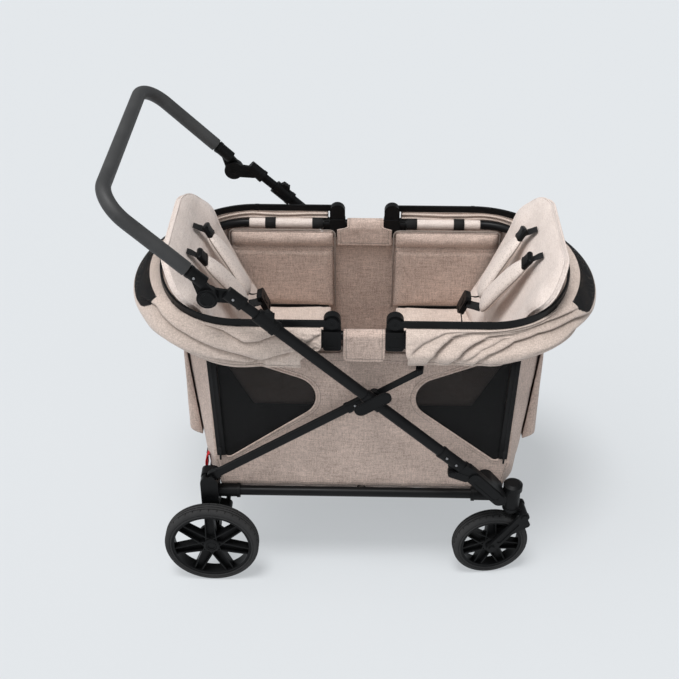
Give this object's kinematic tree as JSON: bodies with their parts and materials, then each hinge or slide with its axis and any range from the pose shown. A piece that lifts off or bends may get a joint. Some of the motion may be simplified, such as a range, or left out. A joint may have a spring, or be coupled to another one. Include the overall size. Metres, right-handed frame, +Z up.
{
  "type": "stroller wagon",
  "caption": "Folding stroller wagon with facing padded seats, a cloth tub on a crossed tube frame, swivel casters, fold-up canopies and a telescoping, tilting push handle.",
  "frame": {"origin": "on the floor, under the middle of the bounding box", "axes": "+X towards the swivel casters (front), push handle at -X; +Y to the wagon's left; +Z up"},
  "size_m": [1.1616, 0.676, 1.1148],
  "materials": {
    "frame_tube": "satin black powder coat",
    "black_plastic": "fine-grained moulded",
    "board": "matt",
    "steel": "bright rivet and axle steel",
    "foam": "soft closed-cell foam",
    "cloth": "woven melange",
    "padding": "woven melange over foam",
    "mesh": "open black mesh",
    "strap": "webbing",
    "tyre": "matt rubber"
  },
  "bodies": {
    "chassis": {"base_tubes": "frame_tube", "rear_corner_right": "black_plastic", "rear_corner_left": "black_plastic", "front_corner_right": "black_plastic", "front_corner_left": "black_plastic", "corner_covers": "black_plastic", "cross_tubes": "frame_tube", "floor_board": "board", "frame_pins": "steel", "tub_side_right": "cloth", "tub_side_left": "cloth", "mesh_windows": "mesh", "tub_ends": "cloth", "side_pads": "padding", "seat_rear": "padding", "seat_front": "padding", "seat_back_rear": "padding", "seat_back_front": "padding", "harness_rear": "padding", "harness_front": "padding", "end_pockets": "cloth", "pull_strap": "strap"},
    "buckles": {"buckle_rear": "black_plastic", "buckle_front": "black_plastic"},
    "buckle_key_rear": {"buckle_button_rear": "black_plastic"},
    "buckle_key_front": {"buckle_button_front": "black_plastic"},
    "brake": {"brake_bar": "black_plastic"},
    "push_frame": {"push_tubes": "frame_tube", "lower_knuckles": "black_plastic", "height_collars": "black_plastic", "crossing_covers": "black_plastic"},
    "handle_slider": {"slider_tubes": "frame_tube", "hubs_lower": "black_plastic"},
    "handle": {"handle_bar": "frame_tube", "handle_grip": "foam", "hubs_upper": "black_plastic"},
    "tilt_button_right": {"handle_button_right": "black_plastic"},
    "tilt_button_left": {"handle_button_left": "black_plastic"},
    "braces": {"brace_tubes": "frame_tube", "crossing_hubs": "black_plastic", "upper_links": "frame_tube"},
    "top_frame": {"top_rail": "frame_tube", "canopy_brackets": "black_plastic", "rail_wraps": "cloth", "canopy_rear": "cloth", "canopy_front": "cloth"},
    "bow_rear": {"canopy_bow_rear": "frame_tube"},
    "bow_front": {"canopy_bow_front": "frame_tube"},
    "rear_wheel_r": {"rear_wheel_right": "black_plastic", "rear_tyre_right": "tyre"},
    "rear_wheel_l": {"rear_wheel_left": "black_plastic", "rear_tyre_left": "tyre"},
    "caster_r": {"caster_stem_right": "black_plastic"},
    "caster_l": {"caster_stem_left": "black_plastic"},
    "fork_r": {"caster_fork_right": "black_plastic"},
    "fork_l": {"caster_fork_left": "black_plastic"},
    "front_wheel_r": {"front_wheel_right": "black_plastic", "front_tyre_right": "tyre"},
    "front_wheel_l": {"front_wheel_left": "black_plastic", "front_tyre_left": "tyre"}
  },
  "joints": [
    {"name": "frame_fold", "type": "hinge", "parent": "chassis", "child": "push_frame", "pos_m": [0.221, 0, 0.356], "axis": [0, -1, 0], "range_deg": [0, 40], "deforming": ["tub_side_right", "tub_side_left", "mesh_windows", "tub_ends", "side_pads", "seat_rear", "seat_front", "seat_back_rear", "seat_back_front", "harness_rear", "harness_front", "end_pockets"]},
    {"name": "brace_fold", "type": "hinge", "parent": "chassis", "child": "braces", "pos_m": [-0.373, 0, 0.313], "axis": [0, 1, 0], "range_deg": [0, 18.48]},
    {"name": "top_frame_drop", "type": "slide", "parent": "chassis", "child": "top_frame", "axis": [0, 0, -1], "range_m": [0, 0.202]},
    {"name": "harness_drop", "type": "slide", "parent": "chassis", "child": "buckles", "axis": [0, 0, -1], "range_m": [0, 0.1738]},
    {"name": "brake_press", "type": "hinge", "parent": "chassis", "child": "brake", "pos_m": [-0.343, 0, 0.19], "axis": [0, -1, 0], "range_deg": [0, 6]},
    {"name": "handle_extend", "type": "slide", "parent": "push_frame", "child": "handle_slider", "axis": [-0.7396, 0, 0.673], "range_m": [-0.03, 0.08]},
    {"name": "handle_tilt", "type": "hinge", "parent": "handle_slider", "child": "handle", "pos_m": [-0.34576, 0, 0.8609], "axis": [0, -1, 0], "range_deg": [-23.5, 66.5]},
    {"name": "tilt_button_right_press", "type": "slide", "parent": "handle", "child": "tilt_button_right", "axis": [0, 1, 0], "range_m": [0, 0.002], "stiffness_N_per_m": 800, "springref_m": -0.0015},
    {"name": "tilt_button_left_press", "type": "slide", "parent": "handle", "child": "tilt_button_left", "axis": [0, -1, 0], "range_m": [0, 0.002], "stiffness_N_per_m": 800, "springref_m": -0.0015},
    {"name": "buckle_rear_press", "type": "slide", "parent": "buckles", "child": "buckle_key_rear", "axis": [-0.9225, 0, -0.3859], "range_m": [0, 0.0015], "stiffness_N_per_m": 600, "springref_m": -0.001},
    {"name": "buckle_front_press", "type": "slide", "parent": "buckles", "child": "buckle_key_front", "axis": [0.9225, 0, -0.3859], "range_m": [0, 0.0015], "stiffness_N_per_m": 600, "springref_m": -0.001},
    {"name": "canopy_rear_open", "type": "hinge", "parent": "top_frame", "child": "bow_rear", "pos_m": [-0.072, 0, 0.768], "axis": [0, 1, 0], "range_deg": [0, 85], "deforming": ["canopy_rear"]},
    {"name": "canopy_front_open", "type": "hinge", "parent": "top_frame", "child": "bow_front", "pos_m": [0.072, 0, 0.768], "axis": [0, -1, 0], "range_deg": [0, 85], "deforming": ["canopy_front"]},
    {"name": "rear_wheel_right_spin", "type": "hinge", "parent": "chassis", "child": "rear_wheel_r", "pos_m": [-0.38, -0.319, 0.12], "axis": [0, 1, 0], "continuous": true},
    {"name": "caster_right_swivel", "type": "hinge", "parent": "chassis", "child": "caster_r", "pos_m": [0.38, -0.27, 0.209], "axis": [0, 0, 1], "continuous": true},
    {"name": "caster_right_spring", "type": "hinge", "parent": "caster_r", "child": "fork_r", "pos_m": [0.40971, -0.26582, 0.196], "axis": [-0.1392, 0.9903, 0], "range_deg": [0, 5], "stiffness_Nm_per_rad": 60, "springref_deg": -3.44},
    {"name": "front_wheel_right_spin", "type": "hinge", "parent": "fork_r", "child": "front_wheel_r", "pos_m": [0.33346, -0.27654, 0.0975], "axis": [-0.1392, 0.9903, 0], "continuous": true},
    {"name": "rear_wheel_left_spin", "type": "hinge", "parent": "chassis", "child": "rear_wheel_l", "pos_m": [-0.38, 0.319, 0.12], "axis": [0, 1, 0], "continuous": true},
    {"name": "caster_left_swivel", "type": "hinge", "parent": "chassis", "child": "caster_l", "pos_m": [0.38, 0.27, 0.209], "axis": [0, 0, 1], "continuous": true},
    {"name": "caster_left_spring", "type": "hinge", "parent": "caster_l", "child": "fork_l", "pos_m": [0.40971, 0.27418, 0.196], "axis": [-0.1392, 0.9903, 0], "range_deg": [0, 5], "stiffness_Nm_per_rad": 60, "springref_deg": -3.44},
    {"name": "front_wheel_left_spin", "type": "hinge", "parent": "fork_l", "child": "front_wheel_l", "pos_m": [0.33346, 0.26346, 0.0975], "axis": [-0.1392, 0.9903, 0], "continuous": true}
  ],
  "couplings": [
    {"joint": "brace_fold", "follows": "frame_fold", "ratio": 0.44941},
    {"joint": "top_frame_drop", "follows": "frame_fold", "m_per_rad": 0.28648},
    {"joint": "harness_drop", "follows": "frame_fold", "m_per_rad": 0.24609}
  ]
}
